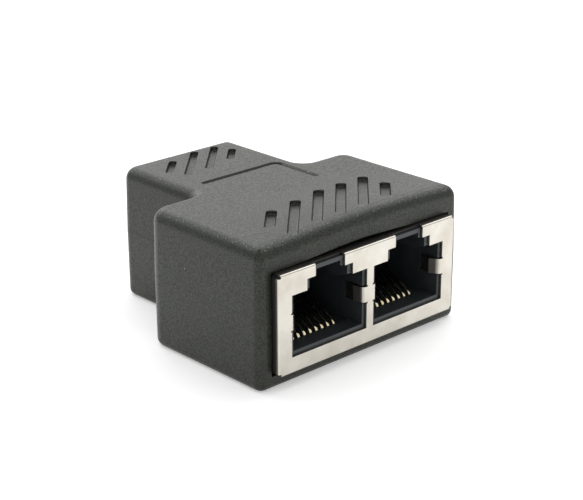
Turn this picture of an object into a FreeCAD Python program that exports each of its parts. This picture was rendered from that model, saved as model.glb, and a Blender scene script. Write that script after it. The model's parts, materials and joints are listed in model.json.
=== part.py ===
import FreeCAD, Part
import math
import os

# A T-shaped network splitter: two eight-wire jacks side by side at the front, one at the rear, all wired to
# an upright circuit board between them, in a housing of two moulded shells.
# Millimetres. X runs across, -Y is the front with two ports, +Z is up.
# The origin is on the table under the middle of the part, which is the middle of the circuit board.

# Jack port, as seen by the plug that goes in
port_width = 11.8
port_height = 6.8
port_depth = 11.65
port_wall = 2.17           # between the two front ports
key_width = 6.45           # stepped keyway for the plug's latch
key_height = 2.15
latch_width = 4.06
latch_height = 0.7
catch_wall = 1.6           # front wall that the latch hooks behind
latch_depth = 8.5
lead_rise = 0.7            # the ceiling slopes up towards the mouth
lead_depth = 1.8
front_end_wall = 2.365     # insulator beside the outer ports
rear_end_wall = 1.85
jack_roof = 0.55
rail_drop = 0.25           # the port's floor is a little lower behind its front lip

# Contact wires
contact_count = 8
contact_pitch = 1.016
contact_width = 0.42
contact_thickness = 0.3
contact_angle = 30         # degrees, rise of the spring arm
contact_rise = 3.15        # from the floor up to the knee
bend_radius = 0.6          # middle line of the wire round the carrier's nose
bend_flats = 5             # the bend is laid in this many corners
bend_setback = 3.2         # from the insulator's face to the middle of that bend
bend_drop = 0.53           # from the floor down to the middle of that bend
tip_angle = 8              # degrees, rise of the wire beyond the knee
row_pitch = 2.54           # between the two rows of solder tails
rear_row_rise = 1.27       # the rear jack's rows stand this much higher than the front ones, clear of them
tail_length = 0.6          # beyond the board
jog_setback = 2.2          # where a raised tail starts to step up inside the carrier
jog_run = 1.2              # length of that step

# Contact carrier
carrier_depth = 5.85
trough_margin = 0.63       # beside the outermost wires
trough_base = 0.87         # insulator under the wires
comb_depth = 1.2
comb_bite = 0.6            # how far the wire tips reach into the comb
comb_headroom = 0.5

# Insulator feet that stand on the board
foot_width = 1.3
foot_heights = (4.4, 8.9)  # above the port's floor

# Shields
sheet = 0.25
corner_relief = 0.15       # between the flanges at a corner of the plate
window_side = 0.5          # how much wider than the port the shield's window is
window_floor = 0.6
window_ceiling = 0.68
window_key = 0.655
window_latch = 0.465
latch_cut = 0.75           # how far the latch notch runs back into the top flange
tab_height = 2.05          # sprung ground tabs
tab_lift = 2.95            # their lower edge above the port's floor
tab_root = 0.15            # beyond the window's edge
tab_bend = 0.5             # middle line of the sheet where a tab turns into the port
tab_flats = 3              # that bend is laid in this many corners
tab_leaf = 1.2
tab_length = 1.3           # from the leaf back along the port's wall
tab_return = 0.25
# How steeply the leaves bend into each port, in degrees: no two ports are sprung quite alike
tab_angles = {"left": 75, "right": 58, "rear": 66}
tab_relief = 0.22
leg_width = 1.5
leg_height = 9.3           # above the shield's lower face
shield_gap = 0.5           # from the flanges to the board
front_proud = 1.1          # how far the shields stand out of the housing
rear_proud = 0.86

# Circuit board
board_thickness = 1.2
board_margin = 0.8         # beyond the front shield, in the grooves of the shells
hole_diameter = 0.8
hole_sides = 6             # a drilled hole is laid in this many flats

# Housing
bottom_wall = 1.8
top_wall = 3.25
side_wall = 2.0
rear_side_wall = 1.6
shoulder_wall = 1.5        # behind the board, beside the rear block
parting_height = 9.65
upper_draft = 1.0          # degrees
lower_draft = 0.25
top_edge_radius = 1.3
bottom_edge_radius = 0.9
edge_flats = 4             # a rounded edge is laid in this many flats
front_corner_radius = 1.55
back_corner_radius = 2.6
inner_corner_radius = 1.4
rear_corner_radius = 1.8
seam_bevel = 0.1
arch_rise = 0.8            # the front opening bows up above the shield
arch_half_span = 14.6
arch_offset = 1.2
arch_depth = 3.5
swell_rise = 0.65          # the roof swells over that bow and falls off towards the back
swell_depth = 15.0
swell_root = 0.6           # how far the swell reaches down into the roof
swell_sink = 0.02          # its rim starts this far under the roof's surface
core_depth = 1.2           # hollows between ribs inside the upper shell
core_margin = 1.6
core_rib = 1.2
front_core_count = 4
rear_core_count = 2
lap_height = 0.6           # tongue and groove between the shells
lap_land = 0.45
lap_end = 3.0

# Marks on top of the housing
slot_depth = 0.65
slot_angle = 45            # degrees from the X axis
slot_corner = 0.3          # how far a slot's corners are clipped
front_slot_width = 1.42
front_slot_pitch = 4.04
front_slot_row = 6.26      # from the housing's front to the middle of the row
rear_slot_width = 1.1
rear_slot_pitch = 3.63
rear_slot_row = 5.5        # from the housing's rear end
# Each slot's length, and its shift along its own slant
front_slots = [(6.2, 0.95), (12.5, -1.2), (12.8, 0.0), (12.8, 0.0), (12.8, 0.0), (6.2, -2.2)]
rear_slots = [(4.9, 1.5), (9.3, 0.7), (9.3, 0.75), (4.3, -0.3)]
frame_width = 0.8
frame_depth = 0.3
frame_left = 6.15
frame_right = 6.95
frame_return = 8.2
frame_radius = 1.0
frame_setback = 2.3        # behind the shoulder

# Clearances
face_gap = 0.1             # insulator behind the shield's plate
shield_fit = 0.05          # insulator inside the shield
shell_fit = 0.1            # shield and board inside the shells
carrier_fit = 0.05
wire_fit = 0.06
wire_floor_gap = 0.25
nose_fit = 0.1
comb_fit = 0.1
tab_fit = 0.15
tab_pocket = 0.55          # room beside the port for a tab to spring into
tail_gap = 0.4
leg_fit = 0.1
lap_fit = 0.08
reach = 1.0                # cutters run this far past what they cut

# Heights, from the table up
shield_bottom = bottom_wall + shell_fit
jack_bottom = shield_bottom + sheet + shield_fit
trough_floor = jack_bottom + trough_base
lower_run = trough_floor + wire_floor_gap + contact_thickness / 2
bend_height = lower_run + bend_radius
floor_height = bend_height + bend_drop
rail_height = floor_height - rail_drop
ceiling_height = floor_height + port_height
key_top = ceiling_height + key_height
latch_top = key_top + latch_height
jack_top = latch_top + jack_roof
shield_top = jack_top + shield_fit + sheet
pocket_top = shield_top + shell_fit
housing_height = pocket_top + top_wall
tab_bottom = floor_height + tab_lift
tab_top = tab_bottom + tab_height
leg_middle = shield_bottom + leg_height

# Depths in one jack, from the shield's face inwards
jack_face = sheet + face_gap
bend_depth = jack_face + bend_setback
trough_front = bend_depth - bend_radius - contact_thickness / 2 - wire_fit
comb_face = jack_face + port_depth
jack_back = comb_face + carrier_depth
standoff = tail_length + tail_gap
board_face = jack_back + standoff
tail_tip = board_face + board_thickness + tail_length
flange_end = board_face - shield_gap
jog_depth = jack_back - jog_setback

# Widths
port_pitch = port_width + port_wall
front_ports = {"left": -port_pitch / 2, "right": port_pitch / 2}
rear_ports = {"rear": 0.0}
front_jack_width = port_pitch + port_width + 2 * front_end_wall
rear_jack_width = port_width + 2 * rear_end_wall
shield_wrap = 2 * (sheet + shield_fit)
front_shield_width = front_jack_width + shield_wrap
rear_shield_width = rear_jack_width + shield_wrap
trough_half_width = (contact_count - 1) / 2 * contact_pitch + contact_width / 2 + trough_margin
board_half_width = front_shield_width / 2 + board_margin
front_pocket_half = front_shield_width / 2 + shell_fit
rear_pocket_half = rear_shield_width / 2 + shell_fit
front_half_width = front_pocket_half + side_wall
rear_half_width = rear_pocket_half + rear_side_wall

# Places along Y in the whole part
board_rear = board_thickness / 2
front_face = -board_rear - board_face
rear_face = -front_face
housing_front = front_face + front_proud
housing_rear = rear_face - rear_proud
tail_room_end = board_rear + tail_length + tail_gap
shoulder = tail_room_end + shoulder_wall


def point(x, y, z):
    return FreeCAD.Vector(x, y, z)


def block(x0, x1, y0, y1, z0, z1):
    """Box between two corners."""
    return Part.makeBox(x1 - x0, y1 - y0, z1 - z0, point(x0, y0, z0))


def centred_block(x, half_width, y0, y1, z0, z1):
    """Box with its middle at x."""
    return block(x - half_width, x + half_width, y0, y1, z0, z1)


def in_plan(z):
    """Lays an outline drawn in (x, y) at height z."""
    return lambda u, v: point(u, v, z)


def in_section(x):
    """Stands an outline drawn in (y, z) at a place along X."""
    return lambda u, v: point(x, u, v)


def in_front(y):
    """Stands an outline drawn in (x, z) at a depth y."""
    return lambda u, v: point(u, y, v)


def rounded_outline(corners, place):
    """Closed wire through corners (u, v, radius), each one rounded by its own radius."""
    middles = []
    entries = []
    exits = []
    for index, (u, v, radius) in enumerate(corners):
        before = corners[index - 1]
        after = corners[(index + 1) % len(corners)]
        corner = point(u, v, 0)
        back = (point(before[0], before[1], 0) - corner).normalize()
        onward = (point(after[0], after[1], 0) - corner).normalize()
        half_angle = back.getAngle(onward) / 2
        setback = radius / math.tan(half_angle)
        inward = (back + onward).normalize()
        middles.append(corner + inward * (radius / math.sin(half_angle) - radius))
        entries.append(corner + back * setback)
        exits.append(corner + onward * setback)
    edges = []
    for index, (u, v, radius) in enumerate(corners):
        entry, middle, leave = (place(p.x, p.y) for p in (entries[index], middles[index], exits[index]))
        following = entries[(index + 1) % len(corners)]
        following = place(following.x, following.y)
        if radius > 0:
            edges.append(Part.Arc(entry, middle, leave).toShape())
        if leave.distanceToPoint(following) > 1e-6:
            edges.append(Part.LineSegment(leave, following).toShape())
    return Part.Wire(edges)


def prism(corners, place, along):
    """Solid between a rounded outline and its copy moved along a vector."""
    return Part.Face(rounded_outline(corners, place)).extrude(along)


def strip_corners(path, thickness):
    """Outline of a strip of even thickness whose middle line follows the path (u, v, bend radius or 0)."""
    half = thickness / 2
    left = []
    right = []
    for index, (u, v, radius) in enumerate(path):
        here = point(u, v, 0)
        runs = []
        if index > 0:
            runs.append((here - point(path[index - 1][0], path[index - 1][1], 0)).normalize())
        if index < len(path) - 1:
            runs.append((point(path[index + 1][0], path[index + 1][1], 0) - here).normalize())
        turn = math.copysign(half, runs[0].cross(runs[-1]).z) if radius > 0 else 0
        normals = [point(-run.y, run.x, 0) for run in runs]
        mitre = (normals[0] + normals[-1]).normalize()
        mitre = mitre * (half / mitre.dot(normals[0]))
        left.append((u + mitre.x, v + mitre.y, radius - turn))
        right.append((u - mitre.x, v - mitre.y, radius + turn))
    return left + right[::-1]


def cut_all(solid, cutters):
    """Solid less every cutter, as one clean solid."""
    return solid.cut(Part.makeCompound(cutters)).removeSplitter().Solids[0]


def join_all(solids):
    """One clean solid from pieces that meet."""
    return solids[0].fuse(solids[1:]).removeSplitter().Solids[0]


def contact_places(port, row_rise):
    """Place along X of each wire in a port, and the rise of its tail: a row more for every other one."""
    for index in range(contact_count):
        offset = (index - (contact_count - 1) / 2) * contact_pitch
        yield port + offset, row_rise + index % 2 * row_pitch


def contact_path(tail_rise):
    """Middle line (y, z, bend radius) of one wire, from its solder tail round the nose to its free tip."""
    tail_run = lower_run + tail_rise
    path = [(tail_tip, tail_run, 0)]
    if tail_rise > 0:
        path += [(jog_depth + jog_run, tail_run, 0), (jog_depth, lower_run, 0)]
    turn = math.radians(180 - contact_angle) / bend_flats
    corner_radius = bend_radius / math.cos(turn / 2)
    for corner in range(bend_flats):
        angle = -math.pi / 2 - (corner + 0.5) * turn
        path.append(
            (bend_depth + corner_radius * math.cos(angle), bend_height + corner_radius * math.sin(angle), 0)
        )
    bend_end, bend_top = path[-1][:2]
    knee_height = floor_height + contact_rise
    knee_depth = bend_end + (knee_height - bend_top) / math.tan(math.radians(contact_angle))
    tip_depth = comb_face + comb_bite
    tip_height = knee_height + (tip_depth - knee_depth) * math.tan(math.radians(tip_angle))
    return path + [(knee_depth, knee_height, 0), (tip_depth, tip_height, 0)]


def contact(x, tail_rise):
    """One spring wire, flat in its own plane."""
    corners = strip_corners(contact_path(tail_rise), contact_thickness)
    return prism(corners, in_section(x - contact_width / 2), point(contact_width, 0, 0))


def carrier_tongue(port, half_width, bottom):
    """Tongue that reaches forward into the bend of the wires, with a nose that follows it in three flats."""
    nose_radius = bend_radius - contact_thickness / 2 - nose_fit
    profile = [(jack_back, bottom, 0), (bend_depth, bottom, 0)]
    for angle in (270, 210, 150, 90):
        y = bend_depth + nose_radius * math.cos(math.radians(angle))
        z = bend_height + nose_radius * math.sin(math.radians(angle))
        profile.append((y, z, 0))
    profile.append((jack_back, bend_height + nose_radius, 0))
    return prism(profile, in_section(port - half_width), point(2 * half_width, 0, 0))


def contact_carrier(port, row_rise):
    """Comb that closes the back of a port and guides its wires: a block with a grooved tongue."""
    block_half = port_width / 2 - carrier_fit
    tongue_half = trough_half_width - carrier_fit
    tongue_bottom = trough_floor + carrier_fit
    block_top = ceiling_height - carrier_fit
    tongue = carrier_tongue(port, tongue_half, tongue_bottom)
    stem = centred_block(port, tongue_half, comb_face, jack_back, tongue_bottom, block_top)
    head = centred_block(port, block_half, comb_face, jack_back, rail_height + carrier_fit, block_top)
    groove_half = contact_width / 2 + wire_fit
    groove_top = lower_run + contact_thickness / 2 + wire_fit
    comb_half = contact_width / 2 + comb_fit
    comb_top = contact_path(0)[-1][1] + contact_thickness + comb_headroom
    comb_end = comb_face + comb_depth
    jog_front = jog_depth - contact_thickness - wire_fit
    behind = jack_back + reach
    cutters = []
    for x, tail_rise in contact_places(port, row_rise):
        cutters.append(centred_block(x, groove_half, bend_depth - reach, behind, trough_floor, groove_top))
        cutters.append(centred_block(x, comb_half, comb_face - reach, comb_end, floor_height, comb_top))
        cutters.append(centred_block(x, groove_half, jog_front, behind, trough_floor, groove_top + tail_rise))
    return cut_all(join_all([tongue, stem, head]), cutters)


def port_cutters(port):
    """Everything that is open in the insulator at one port."""
    half = port_width / 2
    before = jack_face - reach
    behind = jack_back + reach
    latch_end = jack_face + latch_depth
    catch = jack_face + catch_wall
    ceiling_slope = [
        (jack_face - reach, ceiling_height - reach, 0),
        (jack_face + lead_depth, ceiling_height - reach, 0),
        (jack_face + lead_depth, ceiling_height, 0),
        (jack_face, ceiling_height + lead_rise, 0),
        (jack_face - reach, ceiling_height + lead_rise, 0),
    ]
    cutters = [
        centred_block(port, half, before, behind, floor_height, ceiling_height),
        centred_block(port, half, trough_front, behind, rail_height, floor_height),
        centred_block(port, trough_half_width, trough_front, behind, trough_floor, floor_height),
        prism(ceiling_slope, in_section(port - half), point(port_width, 0, 0)),
        centred_block(port, key_width / 2, before, latch_end, ceiling_height, key_top),
        centred_block(port, latch_width / 2, before, latch_end, key_top, latch_top),
        centred_block(port, key_width / 2, catch, latch_end, key_top, latch_top),
    ]
    pocket_end = sheet + tab_bend + tab_leaf + tab_length + tab_fit
    for side in (-1, 1):
        middle = port + side * (half + tab_pocket / 2)
        cutters.append(
            centred_block(middle, tab_pocket / 2, before, pocket_end, tab_bottom - tab_fit, tab_top + tab_fit)
        )
    return cutters


def jack_housing(ports, width, end_wall):
    """Moulded insulator with one or more stepped ports, open at the back for the carriers."""
    body = centred_block(0, width / 2, jack_face, jack_back, jack_bottom, jack_top)
    cutters = [cutter for port in ports.values() for cutter in port_cutters(port)]
    pieces = [cut_all(body, cutters)]
    foot_middle = (width - end_wall) / 2
    for x in (-foot_middle, foot_middle):
        for height in foot_heights:
            low = floor_height + height - foot_width / 2
            pieces.append(centred_block(x, foot_width / 2, jack_back, board_face, low, low + foot_width))
    return join_all(pieces)


def shield_window(port):
    """Cutter for the stepped window of one port, through the plate and the front of the top flange."""
    steps = [
        (port_width / 2 + window_side, ceiling_height + window_ceiling),
        (key_width / 2 + window_key, key_top),
        (latch_width / 2 + window_latch, shield_top + reach),
    ]
    bottom = floor_height - window_floor
    right = []
    for half, top in steps:
        right.append((half, bottom))
        right.append((half, top))
        bottom = top
    outline = [(port + half, z, 0) for half, z in right]
    outline += [(port - half, z, 0) for half, z in right[::-1]]
    return prism(outline, in_front(-reach), point(0, latch_cut + reach, 0))


def ground_tab(port, side, angle):
    """Spring tab bent by an angle from the edge of a window into the port, then back along its wall."""
    edge = port_width / 2 + window_side
    middle = sheet / 2
    steepness = math.radians(angle)
    turn = steepness / tab_flats
    corner_radius = tab_bend / math.cos(turn / 2)
    run = [(edge + tab_root, middle)]
    for corner in range(tab_flats):
        heading = (corner + 0.5) * turn
        depth = middle + tab_bend - corner_radius * math.cos(heading)
        run.append((edge - corner_radius * math.sin(heading), depth))
    leaf_end = run[-1][0] - tab_leaf * math.cos(steepness)
    leaf_depth = run[-1][1] + tab_leaf * math.sin(steepness)
    run.append((leaf_end, leaf_depth))
    run.append((leaf_end + tab_return, leaf_depth + tab_length))
    path = [(port + side * u, v, 0) for u, v in run]
    return prism(strip_corners(path, sheet), in_plan(tab_bottom), point(0, 0, tab_height))


def tab_reliefs(port, side):
    """Small notches in the window's edge above and below a tab."""
    middle = port + side * (port_width / 2 + window_side)
    for z in (tab_bottom - tab_relief, tab_top):
        yield centred_block(middle, tab_root, -reach, sheet + reach, z, z + tab_relief)


def jack_shield(ports, width):
    """Sheet folded into a box round the insulator, open at the back, with its corners relieved.

    The folds are tight: sharp inside, and as round outside as the sheet is thick.
    """
    fold = sheet / 2
    corner = sheet + corner_relief
    low = shield_bottom + sheet / 2
    high = shield_top - sheet / 2
    middle = sheet / 2
    side = width / 2 - sheet / 2
    wrap = [(flange_end, low, 0), (middle, low, fold), (middle, high, fold), (flange_end, high, 0)]
    inner_half = width / 2 - corner
    pieces = [prism(strip_corners(wrap, sheet), in_section(-inner_half), point(2 * inner_half, 0, 0))]
    for sign in (-1, 1):
        fold_path = [
            (sign * (inner_half - corner), middle, 0),
            (sign * side, middle, fold),
            (sign * side, flange_end, 0),
        ]
        flange_height = shield_top - shield_bottom - 2 * corner
        fold_corners = strip_corners(fold_path, sheet)
        pieces.append(prism(fold_corners, in_plan(shield_bottom + corner), point(0, 0, flange_height)))
        leg_low = leg_middle - leg_width / 2
        leg_high = leg_middle + leg_width / 2
        pieces.append(centred_block(sign * side, sheet / 2, flange_end - reach, tail_tip, leg_low, leg_high))
    plate = join_all(pieces)
    cutters = [shield_window(port) for port in ports.values()]
    tabs = []
    for name, port in ports.items():
        for sign in (-1, 1):
            cutters.extend(tab_reliefs(port, sign))
            tabs.append(ground_tab(port, sign, tab_angles[name]))
    return join_all([cut_all(plate, cutters)] + tabs)


def hole_cutter(x, z):
    """Cutter for one hole through the board."""
    corners = []
    for side in range(hole_sides):
        angle = 2 * math.pi * side / hole_sides
        corners.append((x + hole_diameter / 2 * math.cos(angle), z + hole_diameter / 2 * math.sin(angle), 0))
    return prism(corners, in_front(-board_rear - reach), point(0, board_thickness + 2 * reach, 0))


def circuit_board():
    """Upright board with a plated hole for every wire and a slot for every shield leg."""
    board = centred_block(0, board_half_width, -board_rear, board_rear, shield_bottom, shield_top)
    holes = [place for port in front_ports.values() for place in contact_places(port, 0)]
    holes += [(-x, tail_rise) for x, tail_rise in contact_places(0, rear_row_rise)]
    cutters = [hole_cutter(x, lower_run + tail_rise) for x, tail_rise in holes]
    slot_half = sheet / 2 + leg_fit
    slot_low = leg_middle - leg_width / 2 - leg_fit
    slot_high = leg_middle + leg_width / 2 + leg_fit
    for width in (front_shield_width, rear_shield_width):
        for sign in (-1, 1):
            x = sign * (width - sheet) / 2
            cutters.append(
                centred_block(x, slot_half, -board_rear - reach, board_rear + reach, slot_low, slot_high)
            )
    return cut_all(board, cutters)


def rounded_edge(radius):
    """Insets and drops of the flats that turn an upright wall over an edge."""
    for flat in range(edge_flats + 1):
        turn = math.radians(90 * flat / edge_flats)
        yield radius * (1 - math.cos(turn)), radius * (1 - math.sin(turn))


def wall_inset(height, bevel):
    """How far a wall stands inside the parting line's outline: by its draft, and by the bevel of an edge."""
    draft = upper_draft if height > parting_height else lower_draft
    return bevel + abs(height - parting_height) * math.tan(math.radians(draft))


def plan_outline(height, bevel=0):
    """The T of the housing at one height: it draws in by the draft above and below the parting line."""
    inset = wall_inset(height, bevel)
    wide = front_half_width - inset
    narrow = rear_half_width - inset
    front = housing_front + inset
    neck = shoulder - inset
    rear = housing_rear - inset
    right = [
        (wide, front, front_corner_radius - inset),
        (wide, neck, back_corner_radius - inset),
        (narrow, neck, inner_corner_radius + inset),
        (narrow, rear, rear_corner_radius - inset),
    ]
    left = [(-x, y, radius) for x, y, radius in right[::-1]]
    return rounded_outline(right + left, in_plan(height))


def shell_blank(outer_height, edge_radius):
    """Half of the housing, lofted from the parting line along the drafted wall and round the outer edge."""
    outward = math.copysign(1, outer_height - parting_height)
    sections = [
        plan_outline(parting_height, seam_bevel),
        plan_outline(parting_height + outward * seam_bevel),
    ]
    for bevel, drop in rounded_edge(edge_radius):
        sections.append(plan_outline(outer_height - outward * drop, bevel))
    return Part.makeLoft(sections, True, True)


def swell_section(y, height, rise):
    """Closed wire across the roof at a depth y: level below, and bowed up by a rise above."""
    left = arch_offset - arch_half_span
    right = arch_offset + arch_half_span
    low = height - swell_root
    start = point(right, y, height)
    end = point(left, y, height)
    if rise > 0:
        upper = Part.Arc(start, point(arch_offset, y, height + rise), end)
    else:
        upper = Part.LineSegment(start, end)
    sides = [
        Part.LineSegment(end, point(left, y, low)),
        Part.LineSegment(point(left, y, low), point(right, y, low)),
        Part.LineSegment(point(right, y, low), start),
    ]
    return Part.Wire([edge.toShape() for edge in [upper] + sides])


def roof_swell():
    """Swell of the roof over the front opening: highest at the front edge, and gone a way behind it."""
    sections = []
    for bevel, drop in rounded_edge(top_edge_radius):
        height = housing_height - drop
        y = housing_front + wall_inset(height, bevel) + swell_sink
        sections.append(swell_section(y, height - swell_sink, swell_rise + swell_sink))
    sections.append(swell_section(housing_front + swell_depth, housing_height - swell_sink, 0))
    return Part.makeLoft(sections, True, True)


def pocket_cutters():
    """Room for the jacks and the board, cut from both shells alike."""
    low = shield_bottom - shell_fit
    groove_half = board_half_width + shell_fit
    groove_end = board_rear + shell_fit
    return [
        centred_block(0, front_pocket_half, housing_front - reach, tail_room_end, low, pocket_top),
        centred_block(0, groove_half, -groove_end, groove_end, low, pocket_top),
        centred_block(0, rear_pocket_half, board_rear, housing_rear + reach, low, pocket_top),
    ]


def opening_arch():
    """Cutter for the bowed upper edge of the front opening."""
    start = point(arch_offset - arch_half_span, housing_front - reach, pocket_top)
    crown = point(arch_offset, housing_front - reach, pocket_top + arch_rise)
    end = point(arch_offset + arch_half_span, housing_front - reach, pocket_top)
    outline = Part.Wire([Part.Arc(start, crown, end).toShape(), Part.LineSegment(end, start).toShape()])
    bow = Part.Face(outline).extrude(point(0, arch_depth + reach, 0))
    room_end = housing_front + arch_depth
    room = centred_block(0, front_pocket_half, housing_front - reach, room_end, 0, housing_height)
    return bow.common(room)


def core_cutters(half_width, start, end, count):
    """Row of hollows in the roof of the upper shell, with ribs between them that rest on a shield."""
    inner_half = half_width - core_margin
    cell = (2 * inner_half + core_rib) / count
    for index in range(count):
        left = -inner_half + index * cell
        yield block(left, left + cell - core_rib, start, end, pocket_top, pocket_top + core_depth)


def lap_tongues(gap):
    """Tongues along the side walls at the parting line; a gap widens them into grooves."""
    groove_front = -board_rear - shell_fit
    runs = [
        (front_pocket_half, front_half_width, housing_front + lap_end, groove_front - lap_end),
        (rear_pocket_half, rear_half_width, shoulder, housing_rear - lap_end),
    ]
    tongues = []
    for inner, outer, start, end in runs:
        middle = (inner + outer) / 2
        half = (outer - inner) / 2 - lap_land + gap
        for sign in (-1, 1):
            low = parting_height - lap_height
            high = parting_height + lap_height + gap
            tongues.append(centred_block(sign * middle, half, start - gap, end + gap, low, high))
    return tongues


def slanted_slot(x, y, length, width):
    """Cutter for one slanted slot in the top face, centred at (x, y), with clipped corners."""
    half_length = length / 2
    half_width = width / 2
    right = [
        (half_length - slot_corner, -half_width, 0),
        (half_length, slot_corner - half_width, 0),
        (half_length, half_width - slot_corner, 0),
        (half_length - slot_corner, half_width, 0),
    ]
    corners = right + [(-u, -v, radius) for u, v, radius in right]
    slot = prism(corners, in_plan(housing_height - slot_depth), point(0, 0, slot_depth + reach))
    slot.rotate(point(0, 0, 0), point(0, 0, 1), slot_angle)
    slot.translate(point(x, y, 0))
    return slot


def slot_row(y, pitch, width, runs):
    """Row of slanted slots; each run is a slot's length and its shift along its own slant."""
    slant = math.radians(slot_angle)
    for index, (length, shift) in enumerate(runs):
        x = (index - (len(runs) - 1) / 2) * pitch
        yield slanted_slot(x + shift * math.cos(slant), y + shift * math.sin(slant), length, width)


def line_frame():
    """Cutter for the fine line that turns round one corner of the mark area on top."""
    y = shoulder + frame_setback
    path = [
        (-frame_left, y, 0),
        (frame_right, y, frame_radius),
        (frame_right, y - frame_return, 0),
    ]
    corners = strip_corners(path, frame_width)
    return prism(corners, in_plan(housing_height - frame_depth), point(0, 0, frame_depth + reach))


def upper_shell():
    """Cover half: roof with slots and a swell over its bowed front opening, and ribs inside."""
    core_front = housing_front + arch_depth + core_margin
    core_rear = housing_rear - core_margin
    cutters = pocket_cutters() + [opening_arch(), line_frame()] + lap_tongues(lap_fit)
    cutters += core_cutters(front_shield_width / 2, core_front, -board_rear - core_margin, front_core_count)
    cutters += core_cutters(rear_shield_width / 2, shoulder + core_margin, core_rear, rear_core_count)
    front_row = housing_front + front_slot_row
    rear_row = housing_rear - rear_slot_row
    cutters += slot_row(front_row, front_slot_pitch, front_slot_width, front_slots)
    cutters += slot_row(rear_row, rear_slot_pitch, rear_slot_width, rear_slots)
    solid = shell_blank(housing_height, top_edge_radius).fuse(roof_swell())
    for cutter in cutters:
        solid = solid.cut(cutter)
    return solid.removeSplitter().Solids[0]


def lower_shell():
    """Base half: floor and walls, with tongues that register the cover."""
    solid = shell_blank(0, bottom_edge_radius)
    for cutter in pocket_cutters():
        solid = solid.cut(cutter)
    return join_all([solid] + lap_tongues(0))


def at_front(solid):
    """Puts a jack piece at the front end."""
    return solid.translated(point(0, front_face, 0))


def at_rear(solid):
    """Turns a jack piece round and puts it at the rear end."""
    turned = solid.rotated(point(0, 0, 0), point(0, 0, 1), 180)
    return turned.translated(point(0, rear_face, 0))


def jack_pieces(prefix, ports, width, end_wall, row_rise, place):
    """Named pieces of one jack: shield, insulator, and a carrier with its wires for each port."""
    pieces = {
        prefix + "_shield": place(jack_shield(ports, width + shield_wrap)),
        prefix + "_jack_housing": place(jack_housing(ports, width, end_wall)),
    }
    for name, port in ports.items():
        pieces[name + "_contact_carrier"] = place(contact_carrier(port, row_rise))
        wires = list(contact_places(port, row_rise))
        for number, (x, tail_rise) in enumerate(reversed(wires), start=1):
            pieces[f"{name}_port_contact_{number}"] = place(contact(x, tail_rise))
    return pieces


solids = {
    "upper_shell": upper_shell(),
    "lower_shell": lower_shell(),
    "circuit_board": circuit_board(),
}
solids.update(jack_pieces("front", front_ports, front_jack_width, front_end_wall, 0, at_front))
solids.update(jack_pieces("rear", rear_ports, rear_jack_width, rear_end_wall, rear_row_rise, at_rear))

os.makedirs("parts", exist_ok=True)
for name, solid in solids.items():
    solid.exportStep(f"parts/{name}.step")
    print(name, "valid" if solid.isValid() else "NOT VALID", round(solid.Volume, 2))
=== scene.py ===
# %% [markdown]
# # A network splitter on a white table
# The object is a palm-sized T of dark moulded plastic with three network jacks, two at the wide end and one
# at the narrow end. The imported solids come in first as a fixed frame, and every new piece is placed by them.
# The solids hold the true sizes, so this lesson only adds what they leave plain: soft moulded edges, round
# bends in the contact wires, and the finish of every surface.

# %% Load the frame
import json
import math

import bmesh
import bpy
import numpy as np
from mathutils import Matrix, Vector


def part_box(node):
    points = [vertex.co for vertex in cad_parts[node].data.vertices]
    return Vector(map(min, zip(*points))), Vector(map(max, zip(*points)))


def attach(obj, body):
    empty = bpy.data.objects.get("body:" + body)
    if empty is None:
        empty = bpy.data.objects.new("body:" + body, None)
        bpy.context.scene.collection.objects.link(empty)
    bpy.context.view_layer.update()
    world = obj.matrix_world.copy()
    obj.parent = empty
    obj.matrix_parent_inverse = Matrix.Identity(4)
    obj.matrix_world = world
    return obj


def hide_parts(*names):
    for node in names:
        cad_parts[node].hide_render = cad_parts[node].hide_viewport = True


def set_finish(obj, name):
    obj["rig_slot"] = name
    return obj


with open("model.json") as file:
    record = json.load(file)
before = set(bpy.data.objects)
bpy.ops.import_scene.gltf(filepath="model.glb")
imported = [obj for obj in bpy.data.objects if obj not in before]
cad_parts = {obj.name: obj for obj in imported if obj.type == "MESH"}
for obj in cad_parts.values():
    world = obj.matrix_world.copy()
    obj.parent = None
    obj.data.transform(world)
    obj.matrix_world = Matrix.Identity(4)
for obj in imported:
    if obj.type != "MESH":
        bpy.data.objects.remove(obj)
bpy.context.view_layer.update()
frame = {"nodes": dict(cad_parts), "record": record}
MM = 0.001


def box_mm(node):
    """Lowest and highest corner of a solid, in millimetres."""
    low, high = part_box(node)
    return np.array(low) / MM, np.array(high) / MM


# %% [markdown]
# ## Loops and profiles
# Most of this object is one idea: a closed outline with rounded corners, and a profile that is carried round
# it. The housing is a T outline whose profile is a drafted wall and a rounded edge. A grip slot is a small
# rectangle whose profile is a wall and a floor. So one function draws a rounded outline together with its
# outward normals, and another moves that outline inwards, row by row, as the profile says.


# %% Rounded outline
LEAST_RADIUS = 0.3


def rounded_loop(corners, radii, steps, inset=0.0):
    """Closed outline with a right angle at every corner, run anticlockwise, and its outward normals.

    With a and b the outward normals of the sides that meet in a corner, n(t) = a cos t + b sin t turns from
    one to the other, and the round is corner + s r (n(t) - a - b), where s is +1 outside and -1 inside.
    Moved in by an inset i, a corner becomes corner - i (a + b) and its radius r - s i, but no less than a
    least one: a round that is used up stays as a crisp corner.
    """
    corners = np.asarray(corners, float)
    along = np.roll(corners, -1, axis=0) - corners
    along /= np.linalg.norm(along, axis=1, keepdims=True)
    after = np.stack([along[:, 1], -along[:, 0]], axis=1)
    before = np.roll(after, 1, axis=0)
    side = np.sign(before[:, 0] * after[:, 1] - before[:, 1] * after[:, 0])
    turn = np.linspace(0, np.pi / 2, steps + 1)[:, None]
    normals = before[:, None] * np.cos(turn) + after[:, None] * np.sin(turn)
    corners = corners - inset * (before + after)
    radii = np.maximum(radii - side * inset, np.minimum(radii, LEAST_RADIUS))
    reach = (side * radii)[:, None, None]
    points = corners[:, None] + reach * (normals - before[:, None] - after[:, None])
    return points.reshape(-1, 2), normals.reshape(-1, 2)


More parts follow.
